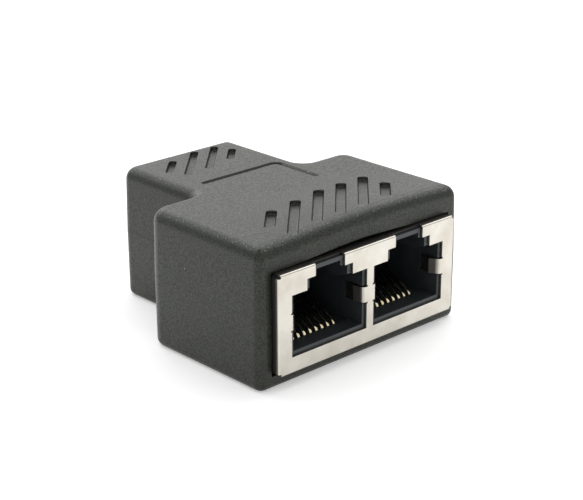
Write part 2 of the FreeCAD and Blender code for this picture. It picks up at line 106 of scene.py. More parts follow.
# %% Carried profile
RIM_TURN = 0.3


def carried(loop, rows):
    """Grid of points (row, place, xyz): row j is the outline moved in by inset j, at height j."""
    points, normals = loop
    inset, height = np.asarray(rows, float).T
    plan = points[None] - inset[:, None, None] * normals[None]
    level = np.broadcast_to(height[:, None, None], plan.shape[:2] + (1,))
    return np.concatenate([plan, level], axis=2)


def opening_rim(rim, face):
    """Last rows of a cutter: a rim that turns outwards just under a face and goes on past it."""
    return [
        (0, face - rim),
        (-RIM_TURN * rim, face - RIM_TURN * rim),
        (-(1 + RIM_TURN) * rim, face + RIM_TURN * rim),
    ]


def quarter_round(radius, steps):
    """Inset r (1 - cos t) and drop r (1 - sin t) of an edge that turns from an upright wall to a flat top."""
    turn = np.linspace(0, np.pi / 2, steps + 1)
    return radius * (1 - np.cos(turn)), radius * (1 - np.sin(turn))


# %% [markdown]
# ## From grids to meshes
# A grid becomes quads between its rows, with the last column joined to the first and a flat cap on the first
# and last row, so that each mesh is closed. The shapes are worked out in millimetres and brought to metres
# when they are finished. Smooth shading with sharp edges kept, and normals weighted by area, lets the large
# flats stay flat while the rounds between them look round.


# %% Closed meshes
def closed_faces(rows, columns, start=0):
    """Quads (j, i), (j, i+1), (j+1, i+1), (j+1, i) of a grid that closes on itself, and its two caps."""
    index = start + np.arange(rows * columns).reshape(rows, columns)
    onward = np.roll(index, -1, axis=1)
    quads = np.stack([index[:-1], onward[:-1], onward[1:], index[1:]], axis=2).reshape(-1, 4)
    return quads.tolist() + [index[0, ::-1].tolist(), index[-1].tolist()]


def closed_solid(name, grids):
    """Object made of one or more closed grids that don't touch, in millimetres."""
    faces = []
    count = 0
    for grid in grids:
        faces += closed_faces(*grid.shape[:2], start=count)
        count += grid.shape[0] * grid.shape[1]
    points = np.concatenate([grid.reshape(-1, 3) for grid in grids])
    mesh = bpy.data.meshes.new(name)
    mesh.from_pydata(points.tolist(), [], faces)
    piece = bpy.data.objects.new(name, mesh)
    bpy.context.scene.collection.objects.link(piece)
    return piece


def mesh_points(mesh):
    """Every point of a mesh, as rows of x, y and z."""
    flat = np.empty(3 * len(mesh.vertices))
    mesh.vertices.foreach_get("co", flat)
    return flat.reshape(-1, 3)


# %% Cutting and finishing
def cut(piece, cutters):
    """Takes each cutter out of a piece and deletes it."""
    for cutter in cutters:
        modifier = piece.modifiers.new("cut", "BOOLEAN")
        modifier.operation = "DIFFERENCE"
        modifier.solver = "EXACT"
        modifier.object = cutter
    bpy.context.view_layer.update()
    done = piece.evaluated_get(bpy.context.evaluated_depsgraph_get())
    mesh = bpy.data.meshes.new_from_object(done)
    piece.modifiers.clear()
    piece.data = mesh
    for cutter in cutters:
        bpy.data.objects.remove(cutter)


def finish_piece(piece, node, slot, sharp_degrees):
    """Brings a piece to metres, shades it, and lets it stand for its solid."""
    mesh = piece.data
    mesh.transform(Matrix.Scale(MM, 4))
    mesh.polygons.foreach_set("use_smooth", np.ones(len(mesh.polygons), bool))
    mesh.set_sharp_from_angle(angle=math.radians(sharp_degrees))
    weighted = piece.modifiers.new("flat_faces", "WEIGHTED_NORMAL")
    weighted.keep_sharp = True
    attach(piece, "root")
    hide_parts(node)
    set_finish(piece, slot)


# %% [markdown]
# ## The two mouldings
# The housing is moulded in two halves that meet at mid height. From the parting line each wall leans in by
# the draft that lets it leave its mould, more above than below, then turns over a rounded edge into the top
# or bottom. Here that edge is a smooth round, at the top a little larger than the solid's. A Bevel modifier
# could round a plain block, but it doesn't lean the walls or give each corner its own radius. So the outline
# is drawn anew at every level, moved in as far as the wall is there.

# %% Housing outline
SHELL_LOW, SHELL_HIGH = box_mm("upper_shell")
PARTING = SHELL_LOW[2]
ROOF = 3.45
REAR_WALL = 1.7
SHOULDER_WALL = 2.5
HOUSING_TOP = box_mm("front_shield")[1][2] + ROOF
REAR_HALF_WIDTH = box_mm("rear_shield")[1][0] + REAR_WALL
SHOULDER = box_mm("circuit_board")[1][1] + SHOULDER_WALL
FRONT_RADIUS = 1.2
BACK_RADIUS = 2.6
INNER_RADIUS = 1.4
REAR_RADIUS = 1.8
TOP_EDGE_RADIUS = 1.75
BOTTOM_EDGE_RADIUS = 0.9
SEAM_BEVEL = 0.02
CORNER_STEPS = 16
EDGE_STEPS = 12
UPPER_DRAFT = math.tan(math.radians(1.0))
LOWER_DRAFT = math.tan(math.radians(0.25))

right_side = [
    (SHELL_HIGH[0], SHELL_LOW[1]),
    (SHELL_HIGH[0], SHOULDER),
    (REAR_HALF_WIDTH, SHOULDER),
    (REAR_HALF_WIDTH, SHELL_HIGH[1]),
]
side_radii = [FRONT_RADIUS, BACK_RADIUS, INNER_RADIUS, REAR_RADIUS]
left_side = [(-x, y) for x, y in reversed(right_side)]
print("housing in mm: top at", round(HOUSING_TOP, 2), "and shoulder at", round(SHOULDER, 2))


# %% Housing walls
def draft_inset(height):
    """How far a wall has leant in at a height: the draft's slope times the way from the parting line."""
    way = height - PARTING
    return np.where(way > 0, UPPER_DRAFT, LOWER_DRAFT) * np.abs(way)


def moulding_rows(outer_height, edge_radius):
    """Rows from the parting line, up or down the drafted wall and round the edge to the outer face."""
    outward = np.sign(outer_height - PARTING)
    inset, drop = quarter_round(edge_radius, EDGE_STEPS)
    height = np.concatenate([[PARTING, PARTING + outward * SEAM_BEVEL], outer_height - outward * drop])
    inset = np.concatenate([[SEAM_BEVEL, 0.0], inset]) + draft_inset(height)
    rows = np.stack([inset, height], axis=1)
    return rows if outward > 0 else rows[::-1]


def moulding_grid(rows):
    """The housing's outline, drawn anew for each row at its own inset and height."""
    corners = right_side + left_side
    radii = np.array(side_radii + side_radii[::-1])
    levels = []
    for inset, height in rows:
        plan, _ = rounded_loop(corners, radii, CORNER_STEPS, inset)
        levels.append(np.column_stack([plan, np.full(len(plan), height)]))
    return np.stack(levels)


cover = closed_solid("cover_moulding", [moulding_grid(moulding_rows(HOUSING_TOP, TOP_EDGE_RADIUS))])
base = closed_solid("base_moulding", [moulding_grid(moulding_rows(0.0, BOTTOM_EDGE_RADIUS))])
print("mouldings:", len(cover.data.polygons), "and", len(base.data.polygons), "faces before cutting")

# %% [markdown]
# ## Room for the jacks
# Each jack sits in a pocket that runs in from its end. The mouth of a pocket has a small round at its rim,
# so the cutter flares as it leaves the face. Over the paired jacks the opening bows up and leaves a thin dark
# gap: that bow is the upper edge of the mouth's outline, one low wave of a cosine across the whole width.
# The pockets are cut out with a Boolean, because that leaves the walls and their round edges as they are.

# %% Mouths
POCKET_FIT = 0.1
POCKET_SHY = 0.02
MOUTH_DEPTH = 3.5
MOUTH_RIM = 0.06
BOW_RISE = 0.45
BOW_MIDDLE = -1.0
BOW_HALF = 13.0
BOW_STEPS = 48
OVERSHOOT = 1.0
TO_FRONT = np.array([[1, 0, 0], [0, 0, 1], [0, -1, 0]])
TO_REAR = np.array([[-1, 0, 0], [0, 0, 1], [0, 1, 0]])


def mouth_grid(shield, bow, face, basis):
    """Cutter for one end: the opening's outline, carried from inside the pocket out past the face.

    Its upper edge is z = top + bow (1 + cos(pi u)) / 2, where u runs from -1 to 1 across the bow. The rim
    follows the draft of the wall, so each row is set back by the draft at its own height.
    """
    low, high = box_mm(shield)
    half = high[0] + POCKET_FIT
    floor = low[2] - POCKET_FIT
    top = high[2] + POCKET_FIT
    across = np.linspace(half, -half, BOW_STEPS + 1)
    u = np.clip((across - BOW_MIDDLE) / BOW_HALF, -1, 1)
    upper = top + bow * (1 + np.cos(np.pi * u)) / 2
    points = np.concatenate([[[-half, floor], [half, floor]], np.stack([across, upper], axis=1)])
    normals = np.stack([np.round(points[:, 0] / half), np.sign(points[:, 1] - PARTING)], axis=1)
    # Between its ends the upper edge opens straight up
    normals[3:-1, 0] = 0
    grid = carried((points, normals), [(0, face - MOUTH_DEPTH)] + opening_rim(MOUTH_RIM, face))
    grid[:, :, 2] -= draft_inset(grid[:, :, 1])
    return grid @ basis


# %% Pockets
def pocket_grid():
    """The room inside both halves, from end to end, with the groove that holds the circuit board."""
    front_half = box_mm("front_shield")[1][0] + POCKET_FIT - POCKET_SHY
    rear_half = box_mm("rear_shield")[1][0] + POCKET_FIT - POCKET_SHY
    board_low, board_high = box_mm("circuit_board")
    groove_half = board_high[0] + POCKET_FIT
    groove_front = board_low[1] - POCKET_FIT
    groove_rear = board_high[1] + POCKET_FIT
    right = [
        (front_half, SHELL_LOW[1] - OVERSHOOT),
        (front_half, groove_front),
        (groove_half, groove_front),
        (groove_half, groove_rear),
        (front_half, groove_rear),
        (front_half, groove_rear + OVERSHOOT),
        (rear_half, groove_rear + OVERSHOOT),
        (rear_half, SHELL_HIGH[1] + OVERSHOOT),
    ]
    corners = right + [(-x, y) for x, y in reversed(right)]
    loop = rounded_loop(corners, np.zeros(len(corners)), steps=0)
    low, high = box_mm("front_shield")
    return carried(loop, [(0, low[2] - POCKET_FIT + POCKET_SHY), (0, high[2] + POCKET_FIT - POCKET_SHY)])


def pocket_cutters():
    """Cutters that both halves share."""
    return [
        closed_solid("pocket", [pocket_grid()]),
        closed_solid("front_mouth", [mouth_grid("front_shield", BOW_RISE, -SHELL_LOW[1], TO_FRONT)]),
        closed_solid("rear_mouth", [mouth_grid("rear_shield", 0.0, SHELL_HIGH[1], TO_REAR)]),
    ]


# %% [markdown]
# ## Grip slots and the line on top
# The top carries two rows of slots slanted at 45 degrees, and a fine line that turns one corner. Each slot
# is a rectangle with rounded corners, carried from its floor up a leaning wall to a small round at the top.
# The slots in a row don't have one length: the end ones are short, and each is shifted along its slant.
# They are cut too, all with one cutter, so the grid of the housing doesn't have to follow every slot.

# %% Slots
SLOT_DEPTH = 0.55
SLOT_CORNER = 0.45
SLOT_FILLET = 0.28
SLOT_ANGLE = math.radians(45)
SLOT_RIM = 0.02
SLOT_LEAN = 0.05
SLANT = np.array([math.cos(SLOT_ANGLE), math.sin(SLOT_ANGLE)])
# Each row's slots from the left: (length, shift along the slant)
FRONT_SLOTS = [(6.0, 1.05), (12.0, -0.95), (12.4, 0.2), (12.4, 0.2), (12.4, 0.2), (6.0, -2.1)]
REAR_SLOTS = [(5.1, 0.75), (10.2, 0.0), (9.9, 0.0), (4.7, -0.9)]
FRONT_SLOT_WIDTH = 1.42
FRONT_SLOT_PITCH = 4.04
FRONT_SLOT_ROW = SHELL_LOW[1] + 6.26
REAR_SLOT_WIDTH = 1.1
REAR_SLOT_PITCH = 3.63
REAR_SLOT_ROW = SHELL_HIGH[1] - 5.7


def recess_rows(depth, fillet, lean):
    """Rows of a recess in the top: a floor that rounds up into a leaning wall, and a rim that opens."""
    rise, inward = quarter_round(fillet, steps=5)
    return list(zip(lean + inward, HOUSING_TOP - depth + rise)) + opening_rim(SLOT_RIM, HOUSING_TOP)


def slot_grid(x, y, length, width):
    """One slot about (x, y), turned by the slant."""
    corners = np.array([(-1, -1), (1, -1), (1, 1), (-1, 1)]) * (length, width) / 2
    turn = np.array([SLANT, (-SLANT[1], SLANT[0])])
    loop = rounded_loop(corners @ turn + (x, y), np.full(4, SLOT_CORNER), steps=6)
    return carried(loop, recess_rows(SLOT_DEPTH, SLOT_FILLET, SLOT_LEAN))


def slot_row(y, pitch, width, runs):
    """Every slot of a row, evenly spaced about the middle and then shifted along its slant."""
    for index, (length, shift) in enumerate(runs):
        place = np.array([(index - (len(runs) - 1) / 2) * pitch, y]) + shift * SLANT
        yield slot_grid(*place, length, width)


slots = list(slot_row(FRONT_SLOT_ROW, FRONT_SLOT_PITCH, FRONT_SLOT_WIDTH, FRONT_SLOTS))
slots += list(slot_row(REAR_SLOT_ROW, REAR_SLOT_PITCH, REAR_SLOT_WIDTH, REAR_SLOTS))
print("grip slots:", len(slots))

# %% Line on top
LINE_WIDTH = 0.9
LINE_TIP = 0.45 * LINE_WIDTH
LINE_DEPTH = 0.25
LINE_FILLET = 0.06
LINE_LEAN = 0.25
LINE_LEFT = -6.45
LINE_RIGHT = 6.75
LINE_RETURN = 8.2
LINE_RADIUS = 1.0
LINE_ROW = SHOULDER + 2.05


def line_grid():
    """The line as an L-shaped outline of even width: both sides of its bend turn about one centre."""
    near = LINE_ROW - LINE_WIDTH / 2
    far = LINE_ROW + LINE_WIDTH / 2
    inner = LINE_RIGHT - LINE_WIDTH / 2
    outer = LINE_RIGHT + LINE_WIDTH / 2
    end = LINE_ROW - LINE_RETURN
    corners = [(LINE_LEFT, near), (inner, near), (inner, end), (outer, end), (outer, far), (LINE_LEFT, far)]
    bend_in = LINE_RADIUS - LINE_WIDTH / 2
    bend_out = LINE_RADIUS + LINE_WIDTH / 2
    radii = np.array([LINE_TIP, bend_in, LINE_TIP, LINE_TIP, bend_out, LINE_TIP])
    return carried(rounded_loop(corners, radii, steps=8), recess_rows(LINE_DEPTH, LINE_FILLET, LINE_LEAN))


# %% [markdown]
# ## The swell of the roof
# Over the bowed opening the roof swells too, most at its front edge, and it is flat again in the middle of
# the part. The cut cover has large flat faces, so it is first sliced into a grid that can bend. Then every
# point of the roof and of its rounded edge is lifted by one smooth formula. A lattice could bend it as well,
# but a formula says just where the swell begins and ends. Before that, while the roof is still level, the
# turn of its rounded edge is marked, to say where pale glints of light are painted.

# %% Slice
SWELL_RISE = 0.53
SWELL_MIDDLE = 1.8
SWELL_HALF = 16.5
SWELL_DEPTH = 16.0
SWELL_STEP = 1.1


def slice_grid(piece, low, high):
    """Cuts a mesh along evenly spaced planes across X and Y between two corners."""
    sliced = bmesh.new()
    sliced.from_mesh(piece.data)
    for axis in (0, 1):
        normal = np.eye(3)[axis]
        for way in np.arange(low[axis], high[axis], SWELL_STEP):
            geometry = sliced.verts[:] + sliced.edges[:] + sliced.faces[:]
            bmesh.ops.bisect_plane(sliced, geom=geometry, dist=1e-5, plane_co=normal * way, plane_no=normal)
    sliced.to_mesh(piece.data)
    sliced.free()


# %% Mark the edge
EDGE_MARGIN = 0.3


# The mark says where the housing's finish paints its glints: painted highlights on the rounded edge.
def mark_edge(piece):
    """Stores a mark on each point: 1 in the turn of the rounded top edge, and 0 off it.

    With d the drop below the roof and m the middle of the turn, a fifth of the edge's radius down, the mark
    is 2 - 2 |d - m| / m, held between 0 and 1. Points further in than the edge reaches get none.
    """
    x, y, z = mesh_points(piece.data).T
    middle = TOP_EDGE_RADIUS / 5
    mark = np.clip(2 - 2 * np.abs(HOUSING_TOP - z - middle) / middle, 0, 1)
    reach = TOP_EDGE_RADIUS + EDGE_MARGIN
    behind_front = y > SHELL_LOW[1] + reach
    in_wide = (np.abs(x) < SHELL_HIGH[0] - reach) & (y < SHOULDER - reach)
    in_narrow = (np.abs(x) < REAR_HALF_WIDTH - reach) & (y < SHELL_HIGH[1] - reach)
    mark[behind_front & (in_wide | in_narrow)] = 0
    piece.data.attributes.new("edge", "FLOAT", "POINT").data.foreach_set("value", mark)


# %% Lift the roof
def lift_roof(piece):
    """Raises z by rise (1 - u^2)^1.5 (1 - 3 t^2 + 2 t^3) k.

    u runs from -1 to 1 across the bow, t from 0 at the front to 1 where the swell ends, and k from 0 at the
    top of the opening to 1 at the foot of the rounded edge and above it.
    """
    points = mesh_points(piece.data)
    u = np.clip((points[:, 0] - SWELL_MIDDLE) / SWELL_HALF, -1, 1)
    t = np.clip((points[:, 1] - SHELL_LOW[1]) / SWELL_DEPTH, 0, 1)
    foot = HOUSING_TOP - TOP_EDGE_RADIUS
    opening = box_mm("front_shield")[1][2] + POCKET_FIT + BOW_RISE
    k = np.clip((points[:, 2] - opening) / (foot - opening), 0, 1)
    points[:, 2] += SWELL_RISE * (1 - u ** 2) ** 1.5 * (1 - 3 * t ** 2 + 2 * t ** 3) * k
    piece.data.vertices.foreach_set("co", points.ravel())


# %% Cut and shape the mouldings
cut(cover, pocket_cutters() + [closed_solid("slots", slots), closed_solid("line", [line_grid()])])
cut(base, pocket_cutters())
slice_grid(cover, SHELL_LOW + SWELL_STEP, [SHELL_HIGH[0], SHELL_LOW[1] + SWELL_DEPTH])
mark_edge(cover)
lift_roof(cover)
finish_piece(cover, "upper_shell", "housing", sharp_degrees=50)
finish_piece(base, "lower_shell", "housing", sharp_degrees=50)
print("mouldings:", len(cover.data.polygons), "and", len(base.data.polygons), "faces after cutting")

# %% [markdown]
# ## Contact wires
# Each port has eight gold-plated spring wires. A wire comes forward along the floor, turns round the nose of
# its carrier and rises back into the port, where it bends once more and ends in a comb. The solids have these
# bends in flats. Here a small rounded section is carried along a smooth path: a straight tail, a true arc
# round the nose, and a soft knee. A curve with a bevel could carry it as well, but in a grid the path's own
# normal keeps the section from twisting.

# %% Wire sizes
WIRE_WIDTH = 0.42
WIRE_THICKNESS = 0.3
WIRE_CORNER = 0.1
WIRE_RISE_ANGLE = math.radians(30)
WIRE_TIP_ANGLE = math.radians(8)
BEND_RADIUS = 0.8
BEND_INSET = 3.75
BEND_STEPS = 24
KNEE_SOFTNESS = 0.7
JOG_BACK = 2.2
JOG_RUN = 1.2
JOG_SOFTNESS = 0.3
FACE = -box_mm("front_shield")[0][1]
WIRE_LOW, WIRE_HIGH = box_mm("left_port_contact_2")
TAIL_TIP = WIRE_HIGH[1]
TAIL_END = 0.1
TIP_DEPTH = 12.6
TIP_REACH = TIP_DEPTH - FACE
KNEE_HEIGHT = 7.65
JACK_BACK = box_mm("left_contact_carrier")[1][1]
print("a wire's solid reaches from", np.round(WIRE_LOW, 2).tolist(), "to", np.round(WIRE_HIGH, 2).tolist())


# %% Wire path
def headings(angle):
    """Unit directions (y, z) of angles measured from +Y towards +Z."""
    return np.stack([np.cos(angle), np.sin(angle)], axis=-1)


def soft_corner(before, corner, after, softness, steps):
    """Parabola (1-t)^2 p + 2t(1-t) c + t^2 q that meets the two runs a set way from their corner."""
    into = (corner - before) / np.linalg.norm(corner - before)
    out = (after - corner) / np.linalg.norm(after - corner)
    t = np.linspace(0, 1, steps + 1)[:, None]
    start = corner - softness * into
    end = corner + softness * out
    points = (1 - t) ** 2 * start + 2 * t * (1 - t) * corner + t ** 2 * end
    slopes = (1 - t) * into + t * out
    return points, slopes / np.linalg.norm(slopes, axis=1, keepdims=True)


def wire_path(tail_height):
    """Middle line (y, z) of a wire and its directions, from the solder tail to the free tip."""
    low = WIRE_LOW[2] + WIRE_THICKNESS / 2
    centre = np.array([BEND_INSET - FACE, low + BEND_RADIUS])
    turn = np.linspace(-np.pi / 2, -3 * np.pi / 2 + WIRE_RISE_ANGLE, BEND_STEPS + 1)
    bend = centre + BEND_RADIUS * headings(turn)
    bend_headings = headings(turn - np.pi / 2)
    knee = bend[-1] + headings(WIRE_RISE_ANGLE) * (KNEE_HEIGHT - bend[-1][1]) / math.sin(WIRE_RISE_ANGLE)
    tip = knee + headings(WIRE_TIP_ANGLE) * (TIP_REACH - knee[0]) / math.cos(WIRE_TIP_ANGLE)
    backward = np.array([[-1.0, 0.0]])
    stretches = [(np.array([[TAIL_TIP, tail_height]]), backward)]
    if tail_height > low + WIRE_THICKNESS:
        jog_low = np.array([JACK_BACK - JOG_BACK, low])
        jog_high = np.array([JACK_BACK - JOG_BACK + JOG_RUN, tail_height])
        stretches.append(soft_corner(stretches[0][0][0], jog_high, jog_low, JOG_SOFTNESS, steps=4))
        stretches.append(soft_corner(jog_high, jog_low, bend[0], JOG_SOFTNESS, steps=4))
    stretches.append((bend, bend_headings))
    stretches.append(soft_corner(bend[-1], knee, tip, KNEE_SOFTNESS, steps=6))
    stretches.append((tip[None], headings(WIRE_TIP_ANGLE)[None]))
    return np.concatenate([s[0] for s in stretches]), np.concatenate([s[1] for s in stretches])


# %% Wires
def wire_grid(x, path):
    """Rounded rectangle carried along the path: across the wire is X, and up is the path's own normal."""
    half = np.array([WIRE_WIDTH, WIRE_THICKNESS]) / 2
    corners = np.array([(-1, -1), (1, -1), (1, 1), (-1, 1)]) * half
    section, _ = rounded_loop(corners, np.full(4, WIRE_CORNER), steps=3)
    points, along = path
    up = np.stack([along[:, 1], -along[:, 0]], axis=1)
    across = np.broadcast_to(x + section[None, :, :1], (len(points), len(section), 1))
    in_plane = points[:, None] + section[None, :, 1:] * up[:, None]
    return np.concatenate([across, in_plane], axis=2)


HALF_TURN = np.array([[-1, 0, 0], [0, -1, 0], [0, 0, 1]])
wires = []
for node in sorted(frame["nodes"]):
    if "_port_contact_" not in node:
        continue
    turned = HALF_TURN if node.startswith("rear") else np.eye(3, dtype=int)
    spots = mesh_points(frame["nodes"][node].data) / MM @ turned
    middle = (spots[:, 0].min() + spots[:, 0].max()) / 2
    tail_height = spots[spots[:, 1] > TAIL_TIP - TAIL_END][:, 2].mean()
    wire = closed_solid(node.replace("contact", "wire"), [wire_grid(middle, wire_path(tail_height)) @ turned])
    finish_piece(wire, node, "contact", sharp_degrees=60)
    wires.append(wire)
print("wires:", len(wires), "of", len(wires[0].data.polygons), "faces or more")

# %% [markdown]
# ## Shader helpers
# All finishes are procedural and read the object's own coordinates, so nothing has to be unwrapped, and one
# finish fits the solids and the new pieces alike. The coordinates are in metres, so a texture of a tenth of a
# millimetre has a scale in the thousands. The housing also reads the mark on its edge. Two effects are used
# more than once and so are node groups: a fine grain with flecks and a slow change of tone, and sparse
# specks. A group only puts out values that change over the surface; what is the same all over is set on the
# shader itself.


# %% Node helpers
def add_node(tree, kind, **values):
    """Node of a kind with its inputs set by name, or its own settings where no input has that name."""
    made = tree.nodes.new(kind)
    for name, value in values.items():
        label = name.replace("_", " ")
        if label in made.inputs:
            made.inputs[label].default_value = value
        else:
            setattr(made, name, value)
    return made


def new_group(name, inputs, outputs):
    """Empty node group with float sockets, and its input and output nodes."""
    group = bpy.data.node_groups.new(name, "ShaderNodeTree")
    for label, value in inputs.items():
        group.interface.new_socket(label, in_out="INPUT", socket_type="NodeSocketFloat").default_value = value
    for label in outputs:
        group.interface.new_socket(label, in_out="OUTPUT", socket_type="NodeSocketFloat")
    return group, group.nodes.new("NodeGroupInput"), group.nodes.new("NodeGroupOutput")


def use_group(tree, group, **values):
    """Places a group in a material with its own values."""
    made = tree.nodes.new("ShaderNodeGroup")
    made.node_tree = group
    for name, value in values.items():
        made.inputs[name.replace("_", " ")].default_value = value
    return made


# %% Material helpers
def new_material(name, **values):
    """Material with a Principled shader whose plain values are set on its own sockets."""
    material = bpy.data.materials.new(name)
    material.use_nodes = True
    tree = material.node_tree
    shader = tree.nodes["Principled BSDF"]
    for label, value in values.items():
        shader.inputs[label.replace("_", " ")].default_value = value
    return material, tree, shader


def two_tones(tree, factor, first, second):
    """Colour that runs from the first tone to the second as a factor goes from 0 to 1."""
    mix = tree.nodes.new("ShaderNodeMix")
    mix.data_type = "RGBA"
    mix.inputs["A"].default_value = (*first, 1)
    mix.inputs["B"].default_value = (*second, 1)
    tree.links.new(factor, mix.inputs["Factor"])
    return mix


def spread(tree, value, low, high):
    """Maps 0..1 to low..high."""
    ranged = add_node(tree, "ShaderNodeMapRange", To_Min=low, To_Max=high)
    tree.links.new(value, ranged.inputs["Value"])
    return ranged.outputs["Result"]


# %% Grain group
grain_inputs = {"Scale": 5000.0, "Tone Scale": 300.0}
grain, grain_in, grain_out = new_group("fine_grain", grain_inputs, ["Height", "Fleck", "Tone"])
place = grain.nodes.new("ShaderNodeTexCoord")
fine = add_node(grain, "ShaderNodeTexNoise", Detail=3.0, Roughness=0.6)
slow = add_node(grain, "ShaderNodeTexNoise", Detail=4.0, Roughness=0.55)
for noise, label in ((fine, "Scale"), (slow, "Tone Scale")):
    grain.links.new(place.outputs["Object"], noise.inputs["Vector"])
    grain.links.new(grain_in.outputs[label], noise.inputs["Scale"])
grain.links.new(fine.outputs["Fac"], grain_out.inputs["Height"])
for noise, label, reach in ((fine, "Fleck", 0.1), (slow, "Tone", 0.2)):
    stretch = add_node(grain, "ShaderNodeMapRange", From_Min=0.5 - reach, From_Max=0.5 + reach)
    grain.links.new(noise.outputs["Fac"], stretch.inputs["Value"])
    grain.links.new(stretch.outputs["Result"], grain_out.inputs[label])

# %% Speck group
speck_inputs = {"Scale": 1000.0, "Share": 0.05, "Size": 0.12}
specks, specks_in, specks_out = new_group("sparse_specks", speck_inputs, ["Mask"])
place = specks.nodes.new("ShaderNodeTexCoord")
cells = add_node(specks, "ShaderNodeTexVoronoi")
chosen = add_node(specks, "ShaderNodeMath", operation="LESS_THAN")
near = add_node(specks, "ShaderNodeMath", operation="LESS_THAN")
both = add_node(specks, "ShaderNodeMath", operation="MULTIPLY")
specks.links.new(place.outputs["Object"], cells.inputs["Vector"])
specks.links.new(specks_in.outputs["Scale"], cells.inputs["Scale"])
specks.links.new(cells.outputs["Color"], chosen.inputs[0])
specks.links.new(specks_in.outputs["Share"], chosen.inputs[1])
specks.links.new(cells.outputs["Distance"], near.inputs[0])
specks.links.new(specks_in.outputs["Size"], near.inputs[1])
specks.links.new(chosen.outputs["Value"], both.inputs[0])
specks.links.new(near.outputs["Value"], both.inputs[1])
specks.links.new(both.outputs["Value"], specks_out.inputs["Mask"])
print("groups:", grain.name, "and", specks.name)

# %% [markdown]
# ## Finishes
# The housing is dark grey plastic with a fine matte texture, a hint of green and a few specks of dust, and on
# its rounded edges pale specks that are painted glints of light. The shields are satin nickel with faint
# stains, bright on the face, with painted shade and a rougher finish behind it. The insulators are black
# plastic with a slight sheen. The wires are gold at their bends, with painted shade further into the port.
# The circuit board is hidden inside, so it gets a plain green mask with a little tone.


# %% Housing plastic
def grain_bump(tree, shader, group, strength, distance):
    """Bump from a grain group's height."""
    bump = add_node(tree, "ShaderNodeBump", Strength=strength, Distance=distance)
    tree.links.new(group.outputs["Height"], bump.inputs["Height"])
    tree.links.new(bump.outputs["Normal"], shader.inputs["Normal"])


housing, tree, shader = new_material(
    "housing_plastic", Specular_Tint=(0.975, 1.0, 0.93, 1), Specular_IOR_Level=0.42)
texture = use_group(tree, grain, Scale=5200.0)
dust = use_group(tree, specks, Scale=1300.0, Share=0.09, Size=0.09)
# Pale specks in the turn of the rounded top edge are painted glints: painted highlights where the edge catches
# light.
glints = use_group(tree, specks, Scale=3600.0, Share=0.45, Size=0.22)
edge = add_node(tree, "ShaderNodeAttribute", attribute_name="edge")
painted_glints_on_edges = add_node(tree, "ShaderNodeMath", operation="MULTIPLY")
tree.links.new(glints.outputs["Mask"], painted_glints_on_edges.inputs[0])
tree.links.new(edge.outputs["Fac"], painted_glints_on_edges.inputs[1])
base_colour = two_tones(tree, texture.outputs["Fleck"], (0.0, 0.0, 0.0), (0.025, 0.0285, 0.019))
# The dust specks are the plastic's own; the edge specks are the painted highlight of the glints.
dust_and_glint_tones = [
    (dust.outputs["Mask"], (0.5, 0.5, 0.47)),
    (painted_glints_on_edges.outputs["Value"], (0.19, 0.19, 0.18)),
]
for mask, pale in dust_and_glint_tones:
    dusted_and_glinted = two_tones(tree, mask, (0, 0, 0), pale)
    tree.links.new(base_colour.outputs["Result"], dusted_and_glinted.inputs["A"])
    base_colour = dusted_and_glinted
tree.links.new(base_colour.outputs["Result"], shader.inputs["Base Color"])
tree.links.new(spread(tree, texture.outputs["Fleck"], 0.46, 0.29), shader.inputs["Roughness"])
grain_bump(tree, shader, texture, 0.8, 0.03 * MM)
print("finish:", housing.name)

# %% Satin nickel
# Depths behind the face where the painted shade on the sheet begins and where it is full.
NICKEL_BRIGHT = 0.05
NICKEL_SHADE_DEPTH = 0.6
WORN_ROUGHNESS = 0.55


# Mask for painted shade: colour is kept near a face and darkened deeper into the part.
def near_face(tree, bright, shade_depth):
    """1 up to one depth behind either face of the part, along Y, and 0 from another depth on."""
    place = tree.nodes.new("ShaderNodeTexCoord")
    parts = tree.nodes.new("ShaderNodeSeparateXYZ")
    way = add_node(tree, "ShaderNodeMath", operation="ABSOLUTE")
    inner = (FACE - shade_depth) * MM
    outer = (FACE - bright) * MM
    nearness = add_node(tree, "ShaderNodeMapRange", From_Min=inner, From_Max=outer)
    tree.links.new(place.outputs["Object"], parts.inputs["Vector"])
    tree.links.new(parts.outputs["Y"], way.inputs[0])
    tree.links.new(way.outputs["Value"], nearness.inputs["Value"])
    return nearness.outputs["Result"]


nickel, tree, shader = new_material("satin_nickel", Metallic=1.0)
stain = use_group(tree, grain, Scale=9000.0, Tone_Scale=260.0)
nickel_tone = two_tones(tree, stain.outputs["Tone"], (0.535, 0.50, 0.435), (0.685, 0.655, 0.595))
at_face = near_face(tree, NICKEL_BRIGHT, NICKEL_SHADE_DEPTH)
# Behind the face the sheet is painted dark grey: painted shade on the flanges and tabs inside the pocket and
# the port.
sheet_tone = two_tones(tree, at_face, (0.07, 0.066, 0.06), (0, 0, 0))
tree.links.new(nickel_tone.outputs["Result"], sheet_tone.inputs["B"])
tree.links.new(sheet_tone.outputs["Result"], shader.inputs["Base Color"])
worn = add_node(tree, "ShaderNodeMapRange", To_Min=WORN_ROUGHNESS)
tree.links.new(at_face, worn.inputs["Value"])
tree.links.new(spread(tree, stain.outputs["Tone"], 0.18, 0.12), worn.inputs["To Max"])
tree.links.new(worn.outputs["Result"], shader.inputs["Roughness"])
grain_bump(tree, shader, stain, 0.08, 0.01 * MM)
print("finish:", nickel.name)

# %% Black insulator
insulator, tree, shader = new_material("black_insulator", Specular_IOR_Level=0.54)
sheen = use_group(tree, grain, Scale=4000.0, Tone_Scale=500.0)
black_tone = two_tones(tree, sheen.outputs["Tone"], (0.021, 0.025, 0.028), (0.029, 0.034, 0.037))
tree.links.new(black_tone.outputs["Result"], shader.inputs["Base Color"])
tree.links.new(spread(tree, sheen.outputs["Tone"], 0.30, 0.42), shader.inputs["Roughness"])
grain_bump(tree, shader, sheen, 0.1, 0.01 * MM)
print("finish:", insulator.name)
